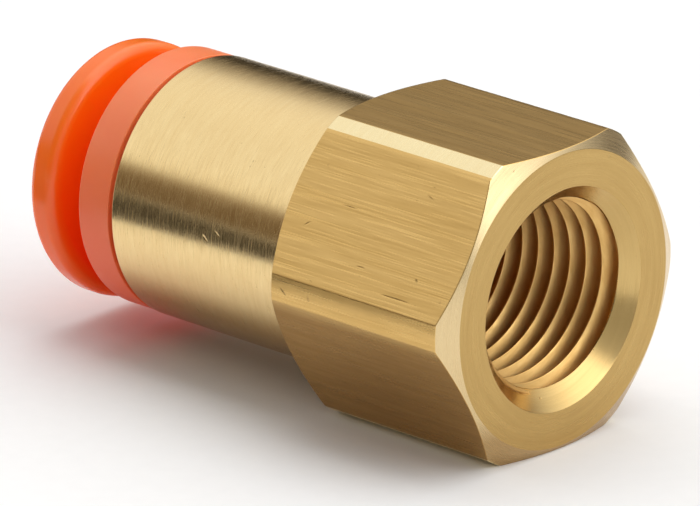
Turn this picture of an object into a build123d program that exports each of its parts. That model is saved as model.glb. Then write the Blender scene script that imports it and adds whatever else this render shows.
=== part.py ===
from build123d import *
import os
from math import atan, cos, degrees, radians, sin, tan

os.makedirs("parts", exist_ok=True)

# ---------------------------------------------------------------- driving dimensions (mm)
# Frame: the axis of the fitting is X. The origin is the middle of the threaded port's face,
# +X points out of that port, and the fitting lies on a hexagon flat with +Z up.
# Positions along the axis are negative, going from the port face to the release button.

# hexagon, 9/16 in
hex_af = 14.29           # across flats
corner_r = 7.98          # corners turned to this radius
port_face_r = 6.96       # outer edge of the flat port face
port_chamfer = 30.0      # chamfer angle from the face plane, port end
hex_len = 11.14          # length of the hexagon
rear_face_r = 7.085      # where the rear chamfer starts
rear_chamfer = 33.5

# barrel
barrel_r = 6.25
barrel_end = -22.40
barrel_edge = 0.13       # broken edge at the mouth

# tapered pipe thread, 1/8-27, taper 1:16 on the diameter
pitch = 25.4 / 27
taper = 1 / 32           # radius change per mm along the axis
crest_r0 = 4.368         # crest radius at the face plane
root_r0 = 5.121          # root radius at the face plane
crest_flat = 0.06
root_flat = 0.06
sink_r = 5.27            # countersink radius at the face, 45 degrees
thread_start = 0.547     # the groove is led in from the air in front of the face
thread_end = -7.92
drill_r = 4.11           # plain hole past the thread
drill_end = -10.13
passage_r = 2.50
passage_start = -10.65

# tube socket and chambers, for a 1/4 in (6.35 mm) tube
tube_stop = -11.43
socket_r = 3.23
chamber_start = -15.72
chamber_r = 4.81
ledge = -19.48
counterbore_r = 5.26

# seal and rings
seal_span = (-17.02, -15.75)
thrust_span = (-17.34, -17.05)
thrust_r = (3.48, 4.77)
guide_span = (-19.79, -19.50)
guide_r = (4.09, 5.23)

# claw carrier and claws
claws = 12
carrier_span = (-19.43, -17.39)
carrier_r = (4.08, 4.74)
carrier_skirt_r = 4.51
carrier_web = -18.22     # the thick slotted part ends here
slot_w = 1.10
slot_r = 4.585
slot_back = -19.19
hinge_x = -18.96
hinge_r = 4.35
claw_w = 0.97
claw_t = 0.16
claw_bead = 0.18
claw_tip = (-17.73, 3.20)

# mouth collar
collar_r = 6.20
collar_span = (-24.50, -22.60)
neck_r = 5.88
spigot_r = 5.24
spigot_end = -19.81
collar_bore = 4.09
relief_r = 4.32
relief_start = -21.63

# release button, drawn unpressed
disc_r = 6.12
disc_span = (-28.05, -26.53)
button_bore = 3.28
sleeve_r = 3.97
nose_tip = -19.13
nose_tip_r = 3.50
nose_len = 0.78
bead_r = 4.19
bead_span = (-21.59, -21.17)


def ring_section(points):
    """Closed outline in the X-Z half plane, (x, radius) points."""
    with BuildSketch(Plane.XZ) as outline:
        with BuildLine():
            Polyline(*points, close=True)
        make_face()
    return outline.sketch


# ---------------------------------------------------------------- thread groove
# The V groove between two crests, swept along a conical helix. It reaches a little inside
# the crest cone, and starts in the air in front of the port.
groove_open = crest_r0 - 0.035
groove_half = (pitch - crest_flat) / 2 + 0.02
length = thread_start - thread_end
start_root = root_r0 + taper * thread_start
start_open = groove_open + taper * thread_start

with BuildPart() as thread_groove:
    with BuildLine() as groove_path:
        Helix(pitch, length, start_root, center=(thread_start, 0, 0), direction=(-1, 0, 0),
              cone_angle=-degrees(atan(taper)))
    start = groove_path.line @ 0
    radial = Vector(0, start.Y, start.Z).normalized()
    with BuildSketch(Plane(origin=(start.X, 0, 0), x_dir=(1, 0, 0),
                           z_dir=Vector(1, 0, 0).cross(radial))):
        with BuildLine():
            Polyline((-root_flat / 2, start_root), (root_flat / 2, start_root),
                     (groove_half, start_open), (-groove_half, start_open), close=True)
        make_face()
    sweep(path=groove_path.line, is_frenet=True)

# ---------------------------------------------------------------- body
port_drop = (corner_r + 1 - port_face_r) * tan(radians(port_chamfer))
rear_drop = (corner_r + 1 - rear_face_r) * tan(radians(rear_chamfer))
sink_end = -(sink_r - crest_r0) / (1 - taper)
sink_end_r = sink_r + sink_end
drill_start = -(crest_r0 - drill_r) / taper

with BuildPart() as body:
    # hexagon bar with its corners turned round
    with BuildSketch(Plane.YZ):
        Circle(corner_r)
        RegularPolygon(hex_af / 2, 6, major_radius=False, rotation=0, mode=Mode.INTERSECT)
    extrude(amount=-hex_len)
    # conical chamfers at both ends of the hexagon
    add(revolve(ring_section([(0, 0), (0, port_face_r), (-port_drop, corner_r + 1),
                              (rear_drop - hex_len, corner_r + 1), (-hex_len, rear_face_r),
                              (-hex_len, 0)]), Axis.X, mode=Mode.PRIVATE), mode=Mode.INTERSECT)
    # barrel
    add(revolve(ring_section([(-hex_len + 1, 0), (-hex_len + 1, barrel_r),
                              (barrel_end + barrel_edge, barrel_r),
                              (barrel_end, barrel_r - barrel_edge), (barrel_end, 0)]),
                Axis.X, mode=Mode.PRIVATE))
    # everything bored from both ends
    add(revolve(ring_section([(1, 0), (1, sink_r + 1), (0, sink_r), (sink_end, sink_end_r),
                              (drill_start, drill_r), (drill_end, drill_r),
                              (passage_start, passage_r), (tube_stop, passage_r),
                              (tube_stop, socket_r), (chamber_start + 0.2, socket_r),
                              (chamber_start, socket_r + 0.2), (chamber_start, chamber_r),
                              (ledge, chamber_r), (ledge, counterbore_r),
                              (barrel_end + 0.16, counterbore_r), (barrel_end, counterbore_r + 0.16),
                              (barrel_end - 1, counterbore_r + 0.16), (barrel_end - 1, 0)]),
                Axis.X, mode=Mode.PRIVATE), mode=Mode.SUBTRACT)
    add(thread_groove.part, mode=Mode.SUBTRACT)
body.part.label = "body"
export_step(body.part, "parts/body.step")

# ---------------------------------------------------------------- lip seal
with BuildPart() as lip_seal:
    add(ring_section([(seal_span[1], 3.73), (seal_span[1], 4.77), (seal_span[0], 4.77),
                      (seal_span[0], 3.86), (-16.79, 3.70), (-16.53, 3.30), (-16.37, 3.20),
                      (-16.17, 3.20), (-15.98, 3.32)]))
    revolve(axis=Axis.X)
lip_seal.part.label = "lip_seal"
export_step(lip_seal.part, "parts/lip_seal.step")

# ---------------------------------------------------------------- thrust ring and guide ring
with BuildPart() as thrust_ring:
    with BuildSketch(Plane.YZ.offset(thrust_span[0])):
        Circle(thrust_r[1])
        Circle(thrust_r[0], mode=Mode.SUBTRACT)
    extrude(amount=thrust_span[1] - thrust_span[0])
thrust_ring.part.label = "thrust_ring"
export_step(thrust_ring.part, "parts/thrust_ring.step")

with BuildPart() as guide_ring:
    with BuildSketch(Plane.YZ.offset(guide_span[0])):
        Circle(guide_r[1])
        Circle(guide_r[0], mode=Mode.SUBTRACT)
    extrude(amount=guide_span[1] - guide_span[0])
guide_ring.part.label = "guide_ring"
export_step(guide_ring.part, "parts/guide_ring.step")

# ---------------------------------------------------------------- claw carrier
with BuildPart() as claw_carrier:
    add(ring_section([(carrier_span[0], carrier_r[0]), (carrier_span[0], carrier_r[1]),
                      (carrier_span[1], carrier_r[1]), (carrier_span[1], carrier_skirt_r),
                      (carrier_web + 0.2, carrier_skirt_r), (carrier_web, carrier_r[0])]))
    revolve(axis=Axis.X)
    # one slot per claw, open towards the seal
    with BuildSketch(Plane.YZ.offset(slot_back)):
        with PolarLocations((carrier_r[0] - 0.4 + slot_r) / 2, claws):
            Rectangle(slot_r - carrier_r[0] + 0.4, slot_w)
    extrude(amount=carrier_span[1] - slot_back + 0.5, mode=Mode.SUBTRACT)
claw_carrier.part.label = "claw_carrier"
export_step(claw_carrier.part, "parts/claw_carrier.step")

# ---------------------------------------------------------------- claws
# A claw is a flat blade that leans in towards the tube, with a rolled bead where it hinges.
lean = atan((hinge_r - claw_tip[1]) / (claw_tip[0] - hinge_x))
across = (claw_t / 2 * sin(lean), claw_t / 2 * cos(lean))


def make_claw(number, angle):
    side = Plane(origin=(0, 0, 0), x_dir=(1, 0, 0),
                 z_dir=(0, -sin(radians(angle)), cos(radians(angle))))
    with BuildPart() as claw:
        with BuildSketch(side):
            with BuildLine():
                Polyline((hinge_x + across[0], hinge_r + across[1]),
                         (claw_tip[0] + 0.12, claw_tip[1] + 0.04), claw_tip,
                         (hinge_x - across[0], hinge_r - across[1]), close=True)
            make_face()
            with Locations((hinge_x, hinge_r)):
                Circle(claw_bead)
        extrude(amount=claw_w / 2, both=True)
    claw.part.label = f"claw_{number:02d}"
    export_step(claw.part, f"parts/claw_{number:02d}.step")


for i in range(claws):
    make_claw(i + 1, i * 360 / claws)

# ---------------------------------------------------------------- mouth collar
with BuildPart() as mouth_collar:
    add(ring_section([(spigot_end, relief_r), (spigot_end, spigot_r - 0.13),
                      (spigot_end - 0.13, spigot_r), (barrel_end, spigot_r),
                      (barrel_end, neck_r), (collar_span[1], neck_r), (collar_span[1], collar_r),
                      (collar_span[0] + 0.08, collar_r), (collar_span[0], collar_r - 0.08),
                      (collar_span[0], collar_bore + 0.2), (collar_span[0] + 0.2, collar_bore),
                      (relief_start, collar_bore), (relief_start, relief_r)]))
    revolve(axis=Axis.X)
mouth_collar.part.label = "mouth_collar"
export_step(mouth_collar.part, "parts/mouth_collar.step")

# ---------------------------------------------------------------- release button
with BuildPart() as release_button:
    add(ring_section([(disc_span[0], button_bore + 0.58), (disc_span[0], disc_r), (disc_span[1], disc_r),
                      (disc_span[1], sleeve_r), (bead_span[0], sleeve_r), (bead_span[0], bead_r),
                      (bead_span[1] - 0.13, bead_r), (bead_span[1], sleeve_r),
                      (nose_tip - nose_len, sleeve_r), (nose_tip, nose_tip_r),
                      (nose_tip, button_bore), (disc_span[0] + 0.58, button_bore)]))
    revolve(axis=Axis.X)
    rim = release_button.edges().filter_by(GeomType.CIRCLE).filter_by(
        lambda e: abs(e.radius - disc_r) < 0.01)
    fillet(rim.sort_by(Axis.X)[-1], 0.36)
    fillet(release_button.edges().filter_by(GeomType.CIRCLE).filter_by(
        lambda e: abs(e.radius - disc_r) < 0.01 and e.center().X < disc_span[0] + 0.1), 0.45)
release_button.part.label = "release_button"
export_step(release_button.part, "parts/release_button.step")
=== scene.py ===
import bmesh
import bpy
import math
import numpy as np
from mathutils import Matrix, Vector


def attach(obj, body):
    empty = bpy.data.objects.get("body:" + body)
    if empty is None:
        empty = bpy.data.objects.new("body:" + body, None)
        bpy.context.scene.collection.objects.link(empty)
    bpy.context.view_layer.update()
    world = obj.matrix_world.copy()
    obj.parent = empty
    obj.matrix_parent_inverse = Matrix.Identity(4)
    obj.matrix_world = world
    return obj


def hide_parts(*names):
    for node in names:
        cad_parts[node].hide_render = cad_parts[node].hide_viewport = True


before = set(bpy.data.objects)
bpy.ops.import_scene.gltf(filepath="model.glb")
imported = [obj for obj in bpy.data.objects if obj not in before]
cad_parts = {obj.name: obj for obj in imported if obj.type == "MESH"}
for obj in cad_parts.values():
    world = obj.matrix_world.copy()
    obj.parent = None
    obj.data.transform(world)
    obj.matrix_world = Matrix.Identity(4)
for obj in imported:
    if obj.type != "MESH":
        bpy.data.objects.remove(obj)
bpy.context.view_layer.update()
MM = 0.001

# ------------------------------------------------------------------ sizes, as in the CAD model (mm)
# The axis is X and the port's face is at 0, so every place inside the fitting is negative.
HEX_AF, HEX_LEN = 14.29, 11.14                       # hexagon across flats, and its length
CORNER_R, FACE_R, REAR_R = 7.98, 6.96, 7.085         # turned corners, port face, rear face
PORT_TAN, REAR_TAN = math.tan(math.radians(30)), math.tan(math.radians(33.5))
BARREL_R, BARREL_END, BARREL_EDGE = 6.25, -22.40, 0.13
PITCH, TAPER = 25.4 / 27, 1 / 32                     # taper on the radius
CREST_R0, ROOT_R0, SINK_R = 4.368, 5.121, 5.27       # radii at the port's face
THREAD_PHASE = -1.10                                 # where a groove's root crosses the +Y side
THREAD_TURNS, THREAD_TOP = 11, -0.12
THREAD_LEAD_IN, THREAD_RUN_OUT = (-0.40, -0.95), (-8.25, -7.55)      # the groove's depth, from 0 to full
DRILL_R, DRILL_START, DRILL_END = 4.11, -8.256, -10.13
PASSAGE_R, PASSAGE_START = 2.50, -10.65
TUBE_STOP, SOCKET_R, SOCKET_EDGE = -11.43, 3.23, 0.20
CHAMBER_START, CHAMBER_R = -15.72, 4.81
LEDGE, BORE_R, BORE_EDGE = -19.48, 5.26, 0.16

SPIGOT_START, SPIGOT_R, SPIGOT_EDGE = -19.81, 5.24, 0.13
GAP_R, GAP_END = 5.88, -22.60                        # the narrow groove between barrel and collar
COLLAR_R, COLLAR_END = 6.20, -24.50
COLLAR_BORE, COLLAR_EDGE = 4.09, 0.20
RELIEF_R, RELIEF_END = 4.32, -21.63

BUTTON_END, BUTTON_BORE, BUTTON_SINK = -28.05, 3.28, 0.58
DISC_R, DISC_BACK = 6.10, -26.53
SLEEVE_R, NOSE_R, NOSE_START, NOSE_END = 3.97, 3.50, -19.91, -19.13
CATCH_R, CATCH_BACK, CATCH_FRONT, CATCH_SLOPE = 4.19, -21.59, -21.30, 0.13

AZIMUTH, ELEVATION = 42.857, 19.935                  # the camera's, in degrees
GRAIN = 1540                                         # texture cells per metre at scale 1


# ------------------------------------------------------------------ node helpers
class Nodes:
    """Builds one node tree, with short calls for the nodes used again and again."""

    def __init__(self, tree):
        self.t = tree
        self.t.nodes.clear()

    def add(self, kind, **props):
        n = self.t.nodes.new(kind)
        for k, v in props.items():
            setattr(n, k, v)
        return n

    def link(self, a, b):
        self.t.links.new(a, b)

    def put(self, socket, value):
        if isinstance(value, bpy.types.NodeSocket):
            self.link(value, socket)
        else:
            socket.default_value = value

    def math(self, op, a, b=0.0):
        n = self.add("ShaderNodeMath", operation=op)
        self.put(n.inputs[0], a)
        self.put(n.inputs[1], b)
        return n.outputs[0]

    def coords(self):
        return self.add("ShaderNodeTexCoord").outputs["Object"]

    def split(self, vec):
        n = self.add("ShaderNodeSeparateXYZ")
        self.link(vec, n.inputs[0])
        return n.outputs

    def radius(self, y, z):
        yy = self.math("MULTIPLY", y, y)
        zz = self.math("MULTIPLY", z, z)
        return self.math("SQRT", self.math("ADD", yy, zz))

    def mapped(self, vec, scale, offset=(0, 0, 0), turn=(0, 0, 0)):
        n = self.add("ShaderNodeMapping")
        n.inputs["Scale"].default_value = [s * GRAIN for s in scale]
        n.inputs["Location"].default_value = offset
        n.inputs["Rotation"].default_value = turn
        self.link(vec, n.inputs["Vector"])
        return n.outputs[0]

    def polar(self, vec, r_scale, a_scale):
        """Radius about the axis and place round it, as a texture vector."""
        x, y, z = self.split(vec)
        n = self.add("ShaderNodeCombineXYZ")
        self.link(self.math("MULTIPLY", self.radius(y, z), GRAIN * r_scale), n.inputs[0])
        self.link(self.math("MULTIPLY", y, GRAIN * a_scale), n.inputs[1])
        self.link(self.math("MULTIPLY", z, GRAIN * a_scale), n.inputs[2])
        return n.outputs[0]

    def noise(self, vec, detail=4.0, rough=0.5, distort=0.0):
        n = self.add("ShaderNodeTexNoise")
        self.link(vec, n.inputs["Vector"])
        n.inputs["Scale"].default_value = 1.0
        n.inputs["Detail"].default_value = detail
        n.inputs["Roughness"].default_value = rough
        n.inputs["Distortion"].default_value = distort
        return n.outputs["Fac"]

    def ramp(self, fac, stops):
        """Stops are (place, colour), and a colour may be one grey number."""
        n = self.add("ShaderNodeValToRGB")
        el = n.color_ramp.elements
        while len(el) < len(stops):
            el.new(0.5)
        for e, (place, col) in zip(el, stops):
            e.position = place
            e.color = (col, col, col, 1) if isinstance(col, (int, float)) else (*col, 1)
        self.link(fac, n.inputs[0])
        return n.outputs[0]

    def remap(self, val, lo, hi, a=0.0, b=1.0):
        n = self.add("ShaderNodeMapRange", clamp=True)
        for s, v in zip(n.inputs, (val, lo, hi, a, b)):
            self.put(s, v)
        return n.outputs[0]

    def mix(self, fac, a, b, blend="MIX"):
        n = self.add("ShaderNodeMix", data_type="RGBA", blend_type=blend)
        self.put(n.inputs[0], fac)
        for s, v in ((n.inputs[6], a), (n.inputs[7], b)):
            self.put(s, v if isinstance(v, bpy.types.NodeSocket) else (*v, 1))
        return n.outputs[2]

    def bump(self, height, strength, distance, normal=None, invert=False):
        """Distance in mm."""
        n = self.add("ShaderNodeBump", invert=invert)
        n.inputs["Strength"].default_value = strength
        n.inputs["Distance"].default_value = distance * MM
        self.link(height, n.inputs["Height"])
        if normal is not None:
            self.link(normal, n.inputs["Normal"])
        return n.outputs[0]

    def dent(self, vec, place, turn, size):
        """One soft spot, 1 at place (mm) and 0 outside the ellipsoid of half sizes size (mm)."""
        m = self.add("ShaderNodeMapping", vector_type="TEXTURE")
        m.inputs["Location"].default_value = [p * MM for p in place]
        m.inputs["Rotation"].default_value = [math.radians(t) for t in turn]
        m.inputs["Scale"].default_value = [q * MM for q in size]
        self.link(vec, m.inputs["Vector"])
        d = self.add("ShaderNodeVectorMath", operation="LENGTH")
        self.link(m.outputs[0], d.inputs[0])
        return self.remap(d.outputs["Value"], 0.0, 1.0, 1.0, 0.0)


def material(name):
    m = bpy.data.materials.new(name)
    m.use_nodes = True
    n = Nodes(m.node_tree)
    out = n.add("ShaderNodeOutputMaterial")
    p = n.add("ShaderNodeBsdfPrincipled")
    n.link(p.outputs[0], out.inputs[0])
    return m, n, p


# ------------------------------------------------------------------ materials
PORE_TONE = (0.30, 0.17, 0.07)
PAINTED_SHADE_TONE = (0.67, 0.59, 0.50)       # painted shade: the underside's tone is multiplied by this


def machined(n, v, kind):
    """The fine and the wide marks that a tool or a die leaves."""
    if kind == "turned":
        fine = n.noise(n.mapped(v, (17, 0.8, 0.8)), 4, 0.65)
        wide = n.noise(n.mapped(v, (3.0, 0.35, 0.35), (3, 1, 5)), 3, 0.6)
    elif kind == "drawn":
        fine = n.noise(n.mapped(v, (0.16, 7.5, 7.5)), 5, 0.62)
        wide = n.noise(n.mapped(v, (0.07, 1.5, 1.5), (2, 7, 1), (0, 0.03, 0.035)), 3, 0.5)
    elif kind == "faced":
        fine = n.noise(n.polar(v, 14, 0.25), 4, 0.6)
        wide = n.noise(n.polar(v, 1.8, 0.12), 3, 0.5)
    else:
        fine = n.noise(n.mapped(v, (9, 0.9, 0.9)), 4, 0.6)
        wide = n.noise(n.mapped(v, (1.2, 0.4, 0.4), (1, 4, 2)), 2, 0.5)
    return fine, wide


def brass(name, light, dark, rough, kind, bump, mottled=0.3, dents=(), painted_shade_heights=None):
    """Brass with machining marks: turned rings, drawn streaks, faced rings or thread.

    dents are (place, turn, half sizes, depth), in mm and degrees. dull gives the two heights (mm)
    between which the underside turns darker and browner, a painted shade."""
    m, n, p = material(name)
    v = n.coords()
    fine, wide = machined(n, v, kind)
    blotch = n.noise(n.mapped(v, (0.35, 0.35, 0.35), (8, 2, 3)), 4, 0.55)
    marks = n.math("ADD", n.math("MULTIPLY", fine, 0.5), n.math("MULTIPLY", wide, 0.5))
    marks = n.math("MULTIPLY", n.remap(marks, 0.30, 0.70), 1 - mottled)
    tone = n.math("ADD", marks, n.math("MULTIPLY", blotch, mottled))

    # sparse pores and small handling marks
    pore = n.noise(n.mapped(v, (2.6, 2.6, 2.6), (5, 9, 2)), 2, 0.5)
    pore = n.remap(pore, 0.73, 0.80)
    color = n.mix(n.math("MULTIPLY", pore, 0.35), n.mix(tone, dark, light), PORE_TONE)
    # painted shade: between the given heights the underside's colour is multiplied by a darker, browner
    # tone
    if painted_shade_heights:
        painted_shade_fade = n.remap(n.split(v)[2], painted_shade_heights[0] * MM, painted_shade_heights[1] * MM)
        color = n.mix(painted_shade_fade, color, PAINTED_SHADE_TONE, "MULTIPLY")
    n.put(p.inputs["Base Color"], color)
    p.inputs["Metallic"].default_value = 1.0
    vary = 0.42 if kind == "turned" else 0.22
    n.put(p.inputs["Roughness"], n.remap(fine, 0.3, 0.7, rough * (1 + vary), rough * (1 - vary)))

    normal = n.bump(fine, bump, 0.008)
    normal = n.bump(wide, bump * 0.6, 0.032, normal)
    normal = n.bump(pore, 0.4, 0.01, normal, True)
    for place, turn, size, depth in dents:
        normal = n.bump(n.dent(v, place, turn, size), 1.0, depth, normal, True)
    n.put(p.inputs["Normal"], normal)
    return m


def plastic(name, light, dark, rough, scatter, coat=0.0, painted_shade_tone=None, deep=None, painted_glow=None):
    """Moulded plastic: a soft swirl of tone, faint orange peel, some light let in.

    low is the tone towards the underside, a painted shade, and deep the pair of tones (top, underside)
    of the inner face of the button's disc, a painted shade. glow is a painted glow, an emission in place
    of light carried through the part: colour, strength."""
    m, n, p = material(name)
    v = n.coords()
    cloud = n.noise(n.mapped(v, (0.22, 0.22, 0.22)), 3, 0.5, 0.4)
    speck = n.noise(n.mapped(v, (4.5, 4.5, 4.5), (3, 3, 1)), 3, 0.6)
    tone = n.mix(n.remap(cloud, 0.3, 0.7), dark, light)
    # painted shade: the tone darkens towards the underside
    if painted_shade_tone:
        x, y, z = n.split(v)
        painted_shade_fade = n.remap(z, 5.0 * MM, -5.0 * MM)
        tone = n.mix(painted_shade_fade, tone, painted_shade_tone)
        # painted shade: the disc's inner face turns darker and redder towards the bottom
        if deep:
            inner = n.remap(n.radius(y, z), (DISC_R - 0.10) * MM, (DISC_R - 0.80) * MM)
            facing = n.remap(x, (DISC_BACK - 0.32) * MM, (DISC_BACK - 0.02) * MM)
            tone = n.mix(n.math("MULTIPLY", inner, facing), tone, n.mix(painted_shade_fade, *deep))
    n.put(p.inputs["Base Color"], tone)
    n.put(p.inputs["Roughness"], n.remap(speck, 0.3, 0.7, rough * 0.88, rough * 1.12))
    p.inputs["Subsurface Weight"].default_value = scatter
    p.inputs["Subsurface Radius"].default_value = (1.0, 0.35, 0.1)
    p.inputs["Subsurface Scale"].default_value = 0.0008
    p.inputs["IOR"].default_value = 1.48
    p.inputs["Coat Weight"].default_value = coat
    p.inputs["Coat Roughness"].default_value = 0.12
    # painted glow: an emission that stands in for light carried through the plastic
    if painted_glow:
        p.inputs["Emission Color"].default_value = (*painted_glow[0], 1)
        p.inputs["Emission Strength"].default_value = painted_glow[1]
    n.put(p.inputs["Normal"], n.bump(speck, 0.06, 0.01))
    return m


def steel(name, light, dark, rough):
    m, n, p = material(name)
    streak = n.noise(n.mapped(n.coords(), (6, 1.2, 1.2)), 4, 0.6)
    n.put(p.inputs["Base Color"], n.mix(n.remap(streak, 0.3, 0.7), dark, light))
    p.inputs["Metallic"].default_value = 1.0
    n.put(p.inputs["Roughness"], n.remap(streak, 0.3, 0.7, rough * 1.2, rough * 0.8))
    n.put(p.inputs["Normal"], n.bump(streak, 0.2, 0.01))
    return m


def card(name, light, dark):
    """Matt paper or card."""
    m, n, p = material(name)
    fibre = n.noise(n.mapped(n.coords(), (0.8, 0.8, 0.8)), 4, 0.5)
    n.put(p.inputs["Base Color"], n.mix(fibre, light, dark))
    p.inputs["Roughness"].default_value = 0.9
    p.inputs["Specular IOR Level"].default_value = 0.1
    return m


# ------------------------------------------------------------------ mesh helpers
def smoothstep(x, a, b):
    t = max(0.0, min(1.0, (x - a) / (b - a)))
    return t * t * (3 - 2 * t)


def smooth_min(values, k):
    m = min(values)
    return m - k * math.log(sum(math.exp(-(v - m) / k) for v in values))


def fillet(p0, p1, p2, radius, n):
    """n points of a fillet at p1 between the lines to p0 and p2."""
    a, b = np.subtract(p0, p1), np.subtract(p2, p1)
    la, lb = np.hypot(*a), np.hypot(*b)
    if radius <= 0 or la < 1e-9 or lb < 1e-9:
        return [tuple(p1)] * n
    a, b = a / la, b / lb
    half = math.acos(max(-1, min(1, float(a @ b)))) / 2
    if abs(half - math.pi / 2) < 1e-3:
        return [tuple(p1)] * n
    t = min(radius / math.tan(half), 0.45 * la, 0.45 * lb)
    r = t * math.tan(half)
    mid = (a + b) / np.hypot(*(a + b))
    c = np.array(p1) + mid * r / math.sin(half)
    s, e = np.array(p1) + a * t - c, np.array(p1) + b * t - c
    a0, a1 = math.atan2(s[1], s[0]), math.atan2(e[1], e[0])
    d = (a1 - a0 + math.pi) % (2 * math.pi) - math.pi
    return [(c[0] + r * math.cos(a0 + d * i / (n - 1)), c[1] + r * math.sin(a0 + d * i / (n - 1)))
            for i in range(n)]


def spread(p, q, n, ease=0.026):
    """n points strictly between p and q, with one close to each end to keep the shading flat."""
    length = math.hypot(q[0] - p[0], q[1] - p[1])
    e = min(ease / max(length, 1e-6), 0.3)
    ts = [0.5] if n == 1 else [e + (1 - 2 * e) * i / (n - 1) for i in range(n)]
    return [(p[0] + (q[0] - p[0]) * t, p[1] + (q[1] - p[1]) * t) for t in ts]


def outline(points):
    """Closed profile. Each point is (x, r, fillet, points in the fillet, rows after it)."""
    k = len(points)
    arcs = [fillet(points[i - 1][:2], points[i][:2], points[(i + 1) % k][:2], *points[i][2:4])
            for i in range(k)]
    out = []
    for i in range(k):
        out += arcs[i]
        out += spread(arcs[i][-1], arcs[(i + 1) % k][0], points[i][4])
    return out


def grid_object(name, verts, faces, mats, index, body, nodes):
    me = bpy.data.meshes.new(name)
    me.from_pydata([tuple(v) for v in verts], [], faces)
    for m in mats:
        me.materials.append(m)
    me.polygons.foreach_set("material_index", index)
    me.polygons.foreach_set("use_smooth", [True] * len(me.polygons))
    me.validate()
    me.update()
    ob = bpy.data.objects.new(name, me)
    bpy.context.scene.collection.objects.link(ob)
    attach(ob, body)
    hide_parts(*nodes)
    return ob


def revolved(name, points, columns, mat, body, nodes, shape=None):
    """A piece turned about X from a closed profile. shape gives each point's shift along x and z."""
    prof = outline(points)
    rows = len(prof)
    verts, faces = [], []
    for j in range(columns):
        a = 2 * math.pi * j / columns
        for x, r in prof:
            dx, dz = shape(x, r, a) if shape else (0.0, 0.0)
            verts.append(((x + dx) * MM, r * math.cos(a) * MM, (r * math.sin(a) + dz) * MM))
        k = (j + 1) % columns
        for i in range(rows):
            h = (i + 1) % rows
            faces.append((j * rows + i, k * rows + i, k * rows + h, j * rows + h))
    return grid_object(name, verts, faces, [mat], [0] * len(faces), body, nodes)


# ------------------------------------------------------------------ the brass body's shape
# Angles go round from +Y, over +Z, to -Y at 180 degrees. Each flat has its middle (degrees), and how
# far it is turned (degrees) and set out (mm) from true. Only the one above the -Y corner is.
FLATS = [(30, 0.0, 0.0), (90, 0.0, 0.0), (150, -0.9, 0.05), (210, 0.0, 0.0), (270, 0.0, 0.0),
         (330, 0.0, 0.0)]
EDGE_SOFT = 0.008            # rounding (mm) where a flat meets a turned corner
EDGE_WEAR = 0.006            # mean depth (mm) of the wear along that edge
INSET = 0.003                # keeps the turned corners inside the CAD size
COLUMN_STEP, EDGE_CLEAR = 1.2, 0.62                  # degrees between columns, and around an edge
EDGE_COLUMNS = (-0.5, -0.28, -0.15, -0.06, 0, 0.06, 0.15, 0.28, 0.5)
RUBBED_CORNER = 180          # this turned corner is as dull as the flats
SINK_ROWS = 6                # mesh rows across the countersink


def flat_half(out=0.0):
    """Half the angle (degrees) that a flat takes up between two turned corners."""
    return math.degrees(math.acos((HEX_AF / 2 + out) / CORNER_R))


def off_flat(deg):
    """The angle (degrees) between deg and the middle of the nearest flat."""
    return np.min([np.abs((deg - d - turn + 180) % 360 - 180) for d, turn, _ in FLATS], axis=0)


def hex_radius(theta):
    """Outer radius of the hexagon at one angle."""
    reach = [CORNER_R - INSET]
    for d, turn, out in FLATS:
        c = math.cos(theta - math.radians(d + turn))
        if c > 0.5:
            reach.append((HEX_AF / 2 + out) / c)
    return smooth_min(reach, EDGE_SOFT)


def body_columns():
    """Angles (degrees) of the mesh columns, close together at the edges of the flats."""
    degs = list(np.arange(0, 360, COLUMN_STEP))
    for d, turn, out in FLATS:
        for edge in (d + turn - flat_half(out), d + turn + flat_half(out)):
            degs = [b for b in degs if abs((b - edge + 180) % 360 - 180) > EDGE_CLEAR]
            degs += [(edge + step) % 360 for step in EDGE_COLUMNS]
    return sorted(degs)


def body_profile(theta):
    """Port face, outside, barrel's end, bore and countersink at one angle. The thread goes in
    before the last point."""
    rh = hex_radius(theta)
    return outline([
        (0, SINK_R, 0.03, 4, 4), (0, FACE_R, 0.035, 4, 2),
        (-(rh - FACE_R) * PORT_TAN, rh, 0.04, 4, 30),
        (-HEX_LEN + (rh - REAR_R) * REAR_TAN, rh, 0.04, 4, 2), (-HEX_LEN, REAR_R, 0.03, 3, 2),
        (-HEX_LEN, BARREL_R, 0.04, 3, 40), (BARREL_END + BARREL_EDGE, BARREL_R, 0.05, 4, 1),
        (BARREL_END, BARREL_R - BARREL_EDGE, 0.03, 3, 1),
        (BARREL_END, BORE_R + BORE_EDGE, 0.02, 3, 1), (BARREL_END + BORE_EDGE, BORE_R, 0.02, 3, 1),
        (LEDGE, BORE_R, 0, 1, 1), (LEDGE, CHAMBER_R, 0, 1, 1), (CHAMBER_START, CHAMBER_R, 0, 1, 1),
        (CHAMBER_START, SOCKET_R + SOCKET_EDGE, 0.02, 3, 1),
        (CHAMBER_START + SOCKET_EDGE, SOCKET_R, 0.02, 3, 2),
        (TUBE_STOP, SOCKET_R, 0, 1, 1), (TUBE_STOP, PASSAGE_R, 0.02, 3, 1),
        (PASSAGE_START, PASSAGE_R, 0.03, 3, 1), (DRILL_END, DRILL_R, 0.06, 3, 3),
        (DRILL_START, DRILL_R, 0, 1, 0), (THREAD_TOP, SINK_R + THREAD_TOP, 0, 1, SINK_ROWS)])


def thread_steps():
    """Offsets along the axis from a crest's middle over one pitch, and the groove's depth, 0 to 1."""
    crest, root = 0.024, 0.026                       # half widths of the flats on crest and root
    flank = PITCH / 2 - crest - root
    half = [(0.0, 0.0), (crest - 0.008, 0.0), (crest + 0.005, 0.010), (crest + 0.02, 0.048)]
    half += [(crest + flank * t, t) for t in (0.14, 0.26, 0.38, 0.50, 0.62, 0.74, 0.86)]
    half += [(crest + flank - 0.008, 0.978), (crest + flank + 0.012, 1.0)]
    return half + [(PITCH / 2, 1.0)] + [(PITCH - s, d) for s, d in reversed(half[1:])]


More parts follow.
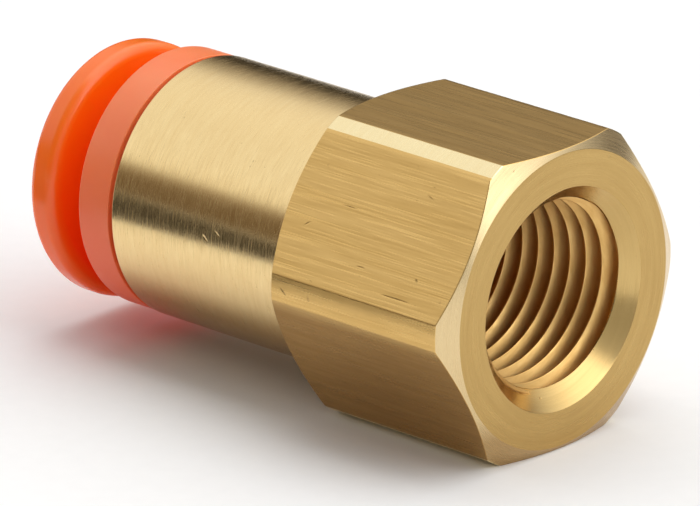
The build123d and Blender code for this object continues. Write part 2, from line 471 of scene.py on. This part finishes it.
def thread_wall(deg, steps):
    """The thread's wall at one angle, from the bottom of the thread to the countersink."""
    start = THREAD_PHASE + PITCH * (1.5 + deg / 360)
    wall = []
    for turn in range(THREAD_TURNS):
        for s, depth in steps:
            x = max(DRILL_START, min(THREAD_TOP, start - turn * PITCH - s))
            depth *= smoothstep(x, *THREAD_RUN_OUT) * smoothstep(x, *THREAD_LEAD_IN)
            r = CREST_R0 + TAPER * x + depth * (ROOT_R0 - CREST_R0)
            wall.append((x, max(r, SINK_R + x)))
    return wall[::-1]


def worn_edges(degs, x, r):
    """The depth to take off along the flats' edges, which wander a little as on real bar."""
    outer = (x > -HEX_LEN + 0.02) & (x < -0.02) & (r > FACE_R - 0.1)
    wander = sum(0.25 * np.sin(x * f + degs * g + phase) for f, g, phase in
                 ((2.1, 0.31, 0.4), (5.3, 0.12, 1.9), (9.7, 0.45, 4.2), (15.1, 0.22, 2.6)))
    near_edge = np.exp(-((off_flat(degs) - flat_half()) / 0.9) ** 2)
    return EDGE_WEAR * (1 + wander) * near_edge * outer


# the body's materials, by their place in the list below
BARREL, FLAT, CORNER, CHAMFER, FACE, THREAD, INSIDE, SINK = range(8)


def lead_zone(x, r, along, corner):
    """Material of a quad outside or in the bore, from its middle. along: it is level with the axis."""
    if r > FACE_R + 0.13 and x < -0.03:
        if not along:
            return CHAMFER
        return CORNER if corner else FLAT
    if r > SINK_R - 0.01 and x > -HEX_LEN + 0.02:
        return FACE if x > -0.01 else CHAMFER
    if r > BARREL_R - 0.3 and x < -HEX_LEN + 0.03:
        return BARREL
    return INSIDE


def brass_body(mats):
    """One closed grid. Its rows are the outside and bore, then the thread, then the countersink."""
    columns = body_columns()
    steps = thread_steps()
    grid = []
    for deg in columns:
        prof = body_profile(math.radians(deg))
        grid.append(prof[:-SINK_ROWS - 1] + thread_wall(deg, steps) + prof[-SINK_ROWS - 1:])
    x, r = np.moveaxis(np.array(grid), -1, 0).copy()
    degs = np.array(columns)[:, None] + np.zeros_like(x)
    r -= worn_edges(degs, x, r)
    a = np.radians(degs)
    verts = np.stack([x, r * np.cos(a), r * np.sin(a)], -1).reshape(-1, 3) * MM

    ncol, nrow = x.shape
    thread_end = nrow - SINK_ROWS - 1
    thread_start = thread_end - THREAD_TURNS * len(steps)
    faces, index = [], []
    for j in range(ncol):
        k = (j + 1) % ncol
        seam = k == 0
        mid = (columns[j] + columns[k] + (360 if seam else 0)) / 2
        corner = off_flat(mid) > flat_half() and abs(mid - RUBBED_CORNER) >= 30
        for i in range(nrow):
            h = (i + 1) % nrow
            p, q = i, h
            if seam and thread_start <= i and thread_start < h < thread_end:
                # across the seam a row of the thread meets the row one whole turn on
                p, q = (min(row + len(steps), thread_end - 1) for row in (i, h))
            faces.append((j * nrow + i, k * nrow + p, k * nrow + q, j * nrow + h))
            xm, rm = (x[j, i] + x[j, h]) / 2, (r[j, i] + r[j, h]) / 2
            if i < thread_start:
                index.append(lead_zone(xm, rm, abs(r[j, i] - r[j, h]) < 0.013, corner))
            elif i < thread_end and rm > SINK_R + xm + 0.003:
                index.append(THREAD)
            else:
                index.append(SINK)
    ob = grid_object("brass_body", verts, faces, mats, index, "fitting", ["body"])
    bm = bmesh.new()
    bm.from_mesh(ob.data)
    bmesh.ops.remove_doubles(bm, verts=bm.verts, dist=2e-7)
    bmesh.ops.dissolve_degenerate(bm, edges=bm.edges, dist=1e-7)
    bmesh.ops.recalc_face_normals(bm, faces=bm.faces)
    bm.to_mesh(ob.data)
    bm.free()


# ------------------------------------------------------------------ the brass body's materials
# small dents and scratches: place (mm), turn (degrees), half sizes (mm), depth (mm)
BARREL_DENTS = [((-16.36, -6.23, 0.53), (20, 38, 0), (0.21, 0.30, 0.07), 0.035),
                ((-15.64, -6.19, 0.90), (20, 30, 0), (0.20, 0.30, 0.05), 0.022),
                ((-19.9, -3.9, 4.9), (0, 0, 0), (0.05, 0.2, 0.05), 0.012),
                ((-14.8, -4.6, 4.2), (0, 0, 0), (0.06, 0.2, 0.05), 0.012)]
FLAT_DENTS = [((-5.80, -7.09, 2.00), (0, 0, 0), (0.30, 0.3, 0.05), 0.016),
              ((-2.49, -7.01, 2.15), (0, 40, 0), (0.14, 0.3, 0.05), 0.020),
              ((-9.60, -6.60, 3.00), (0, 55, 0), (0.05, 0.3, 0.22), 0.012),
              ((-3.4, -5.2, 5.35), (0, 20, 0), (0.25, 0.3, 0.04), 0.012),
              ((-7.6, -5.9, 4.1), (0, 0, 0), (0.50, 0.3, 0.03), 0.010),
              ((-9.85, -7.98, 0.10), (0, 40, 0), (0.30, 0.3, 0.05), 0.030),
              ((-8.30, -7.98, 0.15), (0, 70, 0), (0.22, 0.3, 0.05), 0.026),
              ((-3.30, -7.62, 1.25), (0, 0, 0), (0.9, 0.3, 0.05), 0.022)]
CORNER_DENTS = [((-5.07, -3.91, 7.52), (0, 0, 0), (0.16, 0.3, 0.05), 0.016)]
FACE_DENTS = [((0, 3.0, 6.1), (0, 0, 0), (0.2, 0.09, 0.08), 0.02)]
SINK_DENTS = [((-0.62, -0.9, -4.66), (0, 0, 0), (0.10, 0.13, 0.09), 0.03)]

# name, light tone, dark tone, roughness, marks, bump, mottling, dents, heights of the painted shade on
# the underside
brass_body([
    brass("brass_turned", (0.93, 0.72, 0.37), (0.80, 0.57, 0.26), 0.22, "turned", 0.18, 0.35,
          BARREL_DENTS, (-2.3, -3.9)),
    brass("brass_drawn", (0.81, 0.54, 0.205), (0.62, 0.385, 0.12), 0.30, "drawn", 0.33, 0.2,
          FLAT_DENTS, (-0.45, -1.1)),
    brass("brass_corner", (0.97, 0.83, 0.50), (0.88, 0.70, 0.37), 0.22, "turned", 0.15, 0.3,
          CORNER_DENTS),
    brass("brass_chamfer", (0.82, 0.64, 0.36), (0.70, 0.52, 0.27), 0.28, "faced", 0.2, 0.3, (),
          (-4.2, -5.6)),
    # painted shade: the port face's tones are set darker than the other brass
    brass("brass_face_painted_shade", (0.61, 0.41, 0.15), (0.49, 0.31, 0.105), 0.30, "faced", 0.22, 0.3,
          FACE_DENTS),
    brass("brass_thread", (0.90, 0.60, 0.24), (0.70, 0.42, 0.13), 0.38, "thread", 0.2),
    brass("brass_inside", (0.80, 0.56, 0.24), (0.62, 0.42, 0.16), 0.35, "turned", 0.3),
    # painted shade: the countersink's tones are set darker than the other brass
    brass("brass_sink_painted_shade", (0.68, 0.48, 0.20), (0.58, 0.39, 0.145), 0.22, "faced", 0.25, 0.3,
          SINK_DENTS),
])

# ------------------------------------------------------------------ collar and button
# painted shade on both parts towards the underside and on the button's inner disc face; painted glow
# from their emission
COLLAR = plastic("acetal_salmon", (0.98, 0.26, 0.10), (0.94, 0.21, 0.070), 0.34, 0.25,
                 painted_shade_tone=(0.82, 0.11, 0.035), painted_glow=((1.0, 0.10, 0.01), 0.03))
BUTTON = plastic("acetal_orange", (0.98, 0.20, 0.016), (0.94, 0.17, 0.010), 0.24, 0.35, coat=0.15,
                 painted_shade_tone=(0.88, 0.11, 0.008), deep=((1.0, 0.17, 0.002), (0.96, 0.012, 0.002)),
                 painted_glow=((1.0, 0.07, 0.0), 0.06))

revolved("collar_ring", [
    (SPIGOT_START, RELIEF_R, 0, 1, 1), (SPIGOT_START, SPIGOT_R - SPIGOT_EDGE, 0.02, 2, 1),
    (SPIGOT_START - SPIGOT_EDGE, SPIGOT_R, 0.02, 2, 3), (BARREL_END, SPIGOT_R, 0, 1, 1),
    (BARREL_END, GAP_R, 0.013, 2, 1), (GAP_END, GAP_R, 0, 1, 1), (GAP_END, COLLAR_R, 0.04, 4, 12),
    (COLLAR_END, COLLAR_R, 0.08, 5, 3), (COLLAR_END, COLLAR_BORE + COLLAR_EDGE, 0.03, 3, 1),
    (COLLAR_END + COLLAR_EDGE, COLLAR_BORE, 0.03, 3, 3), (RELIEF_END, COLLAR_BORE, 0.02, 2, 1),
    (RELIEF_END, RELIEF_R, 0, 1, 2)],
    256, COLLAR, "fitting", ["mouth_collar"])

# The button rests in its clearance: its disc hangs a little low and leans out at the top. The sleeve
# stays within the collar's bore (0.12 mm clearance) along the whole stroke. Each shift comes in
# between two places along the axis.
LEAN, LEAN_BACK, LEAN_SPAN = 0.0268, 0.16, (-24.6, -26.0)
SLEEVE_DROP, SLEEVE_SPAN = 0.085, (-19.2, -21.0)
DISC_DROP, DISC_SPAN = 0.155, (-25.75, -26.6)
# two faint moulding marks on the inner side of the disc
MARK_ANGLES, MARK_R, MARK_HEIGHT = (118, 196), 5.4, 0.026
MARK_WIDTH, MARK_LENGTH = 0.08, 0.23


def button_shape(x, r, a):
    """Shift along the axis and upwards."""
    dx = (LEAN_BACK - LEAN * r * math.sin(a)) * smoothstep(x, *LEAN_SPAN)
    if r > SLEEVE_R + 0.63 and x > DISC_BACK - 0.07:
        for deg in MARK_ANGLES:
            across = (a - math.radians(deg)) * r / MARK_WIDTH
            dx += MARK_HEIGHT * math.exp(-across ** 2 - ((r - MARK_R) / MARK_LENGTH) ** 2)
    return dx, -SLEEVE_DROP * smoothstep(x, *SLEEVE_SPAN) - DISC_DROP * smoothstep(x, *DISC_SPAN)


revolved("button_moulding", [
    (BUTTON_END, BUTTON_BORE + BUTTON_SINK, 0.16, 4, 4), (BUTTON_END, DISC_R, 0.45, 9, 3),
    (DISC_BACK, DISC_R, 0.50, 9, 14), (DISC_BACK, SLEEVE_R, 0.10, 4, 12),
    (CATCH_BACK, SLEEVE_R, 0, 1, 1), (CATCH_BACK, CATCH_R, 0.02, 2, 1),
    (CATCH_FRONT, CATCH_R, 0.02, 2, 1), (CATCH_FRONT + CATCH_SLOPE, SLEEVE_R, 0, 1, 2),
    (NOSE_START, SLEEVE_R, 0.03, 2, 2), (NOSE_END, NOSE_R, 0.03, 3, 1),
    (NOSE_END, BUTTON_BORE, 0.03, 3, 12), (BUTTON_END + BUTTON_SINK, BUTTON_BORE, 0.06, 4, 2)],
    320, BUTTON, "button", ["release_button"], button_shape)


# ------------------------------------------------------------------ CAD nodes seen down the bore
def dress(node, mat):
    ob = bpy.data.objects.get(node)
    if not ob.data.materials:
        ob.data.materials.append(mat)
    for s in ob.material_slots:
        s.material = mat


STEEL = steel("stainless_strip", (0.66, 0.65, 0.62), (0.50, 0.49, 0.47), 0.22)
for metal_node in ["thrust_ring", "guide_ring"] + [f"claw_{i:02d}" for i in range(1, 13)]:
    dress(metal_node, STEEL)
dress("lip_seal", plastic("nitrile_rubber", (0.030, 0.030, 0.031), (0.014, 0.014, 0.015), 0.5, 0.0))
dress("claw_carrier", plastic("acetal_natural", (0.80, 0.78, 0.70), (0.70, 0.68, 0.60), 0.4, 0.3))


# ------------------------------------------------------------------ floor, light, camera
def laid(name, sheets, height, mat):
    """Flat sheets at a height. Each is (left, right, near, far), as the camera looks at them, all in
    metres from the fitting's middle."""
    side = Vector((math.cos(math.radians(AZIMUTH)), math.sin(math.radians(AZIMUTH)), 0))
    deep = Vector((-side.y, side.x, 0))
    middle = Vector((-0.011, 0, height))
    verts = [middle + side * u + deep * w for left, right, near, far in sheets
             for u, w in ((left, near), (right, near), (right, far), (left, far))]
    me = bpy.data.meshes.new(name)
    me.from_pydata(verts, [], [range(4 * i, 4 * i + 4) for i in range(len(sheets))])
    me.materials.append(mat)
    ob = bpy.data.objects.new(name, me)
    bpy.context.scene.collection.objects.link(ob)
    return ob


FLOOR_Z = -HEX_AF / 2 * MM - 0.00001                 # just clear of the lowest flat
laid("floor", [(-1.2, 1.2, -0.6, 1.4)], FLOOR_Z,
     card("floor_paper", (0.95, 0.95, 0.95), (0.92, 0.92, 0.92)))

# dark cards on the floor, on the left and behind, which show only as the dark bands in the metal
flag = laid("flag", [(-1.2, -0.033, -0.050, 0.014), (-0.025, 0.025, 0.095, 1.4)], FLOOR_Z + 0.00005,
            card("flag_card", (0.030, 0.024, 0.018), (0.026, 0.021, 0.016)))
flag.visible_camera = False
flag.visible_diffuse = False
flag.visible_shadow = False
flag.visible_transmission = False


def studio():
    """Soft surround: a long softbox on the left, a white ceiling behind, and dark walls low down."""
    w = bpy.data.worlds.new("studio")
    bpy.context.scene.world = w
    w.use_nodes = True
    n = Nodes(w.node_tree)
    out = n.add("ShaderNodeOutputWorld")
    bg = n.add("ShaderNodeBackground")
    n.link(bg.outputs[0], out.inputs[0])
    x, y, z = n.split(n.add("ShaderNodeTexCoord").outputs["Generated"])
    round_axis = n.remap(n.math("ARCTAN2", z, y), -math.pi, math.pi)

    def band(*stops):
        """Colours at angles (degrees) round the fitting's axis, 0 at +Y and 90 at the top."""
        return n.ramp(round_axis, [((angle + 180) / 360, col) for angle, col in stops])

    button_end = band(
        (-180, (0.19, 0.135, 0.085)), (-60, (0.015, 0.010, 0.006)), (13, (0.012, 0.008, 0.005)),
        (25, (0.22, 0.19, 0.15)), (37, (0.47, 0.44, 0.40)), (50, (0.90, 0.89, 0.88)), (64, 0.97),
        (128, 1.02), (140, 1.05), (151, (1.04, 1.02, 0.98)), (158, (0.30, 0.23, 0.16)),
        (165, (0.17, 0.12, 0.075)), (180, (0.17, 0.12, 0.075)))
    middle = band(
        (-180, (0.05, 0.04, 0.03)), (8, (0.10, 0.08, 0.06)), (30, 1.0), (60, 2.0), (92, 2.6),
        (102, 0.4), (130, (0.12, 0.11, 0.10)), (175, (0.06, 0.05, 0.04)))
    port_end = band(
        (-180, (0.45, 0.44, 0.42)), (-120, (0.10, 0.08, 0.06)), (8, (0.10, 0.08, 0.06)), (30, 0.9),
        (60, 2.1), (92, 2.3), (110, 0.6), (150, (0.50, 0.49, 0.47)), (180, (0.50, 0.49, 0.47)))
    color = n.mix(n.remap(x, -0.52, -0.38), button_end, middle)
    n.link(n.mix(n.remap(x, 0.35, 0.60), color, port_end), bg.inputs["Color"])
    bg.inputs["Strength"].default_value = 1.0


def camera():
    """Looks at the fitting's middle from AZIMUTH and ELEVATION, with a long lens."""
    az, el, roll = math.radians(AZIMUTH), math.radians(ELEVATION), math.radians(-0.179)
    distance, shift_right, shift_up = 389.66, 1.521, 0.482
    back = Vector((math.sin(az) * math.cos(el), -math.cos(az) * math.cos(el), math.sin(el)))
    right = Vector((math.cos(az), math.sin(az), 0))
    up = back.cross(right)
    place = Vector((-11.04, 0, 0)) + back * distance - right * shift_right - up * shift_up
    rolled_right = right * math.cos(roll) - up * math.sin(roll)
    rolled_up = right * math.sin(roll) + up * math.cos(roll)
    cam = bpy.data.cameras.new("camera")
    cam.sensor_width, cam.lens = 36.0, 438.5417
    cam.clip_start, cam.clip_end = 0.01, 10
    ob = bpy.data.objects.new("camera", cam)
    bpy.context.scene.collection.objects.link(ob)
    m = Matrix((rolled_right, rolled_up, back)).transposed().to_4x4()
    m.translation = place * MM
    ob.matrix_world = m
    bpy.context.scene.camera = ob


studio()
camera()
bpy.context.scene.view_settings.view_transform = "Standard"
